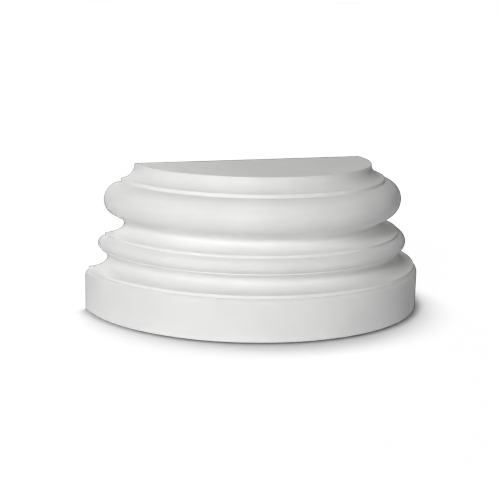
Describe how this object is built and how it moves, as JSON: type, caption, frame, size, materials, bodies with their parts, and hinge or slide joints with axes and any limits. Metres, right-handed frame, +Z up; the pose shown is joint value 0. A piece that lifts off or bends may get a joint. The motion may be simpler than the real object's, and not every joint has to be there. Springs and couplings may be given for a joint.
{
  "type": "half column base",
  "caption": "Half-round moulded column base: plain plinth band, torus rolls and hollows parted by thin fillets, flat bed on top for a half shaft, flat back for a wall.",
  "frame": {"origin": "on the underside, where the column's axis meets the wall plane", "axes": "+Z up along the column's axis; +Y into the wall, so the rounded front faces -Y; +X along the wall"},
  "size_m": [0.4, 0.2, 0.166],
  "materials": {
    "primed_polyurethane": "rigid polyurethane with a smooth moulded skin, matt white primer"
  },
  "bodies": {
    "root": {"half_column_base": "primed_polyurethane"}
  },
  "joints": []
}
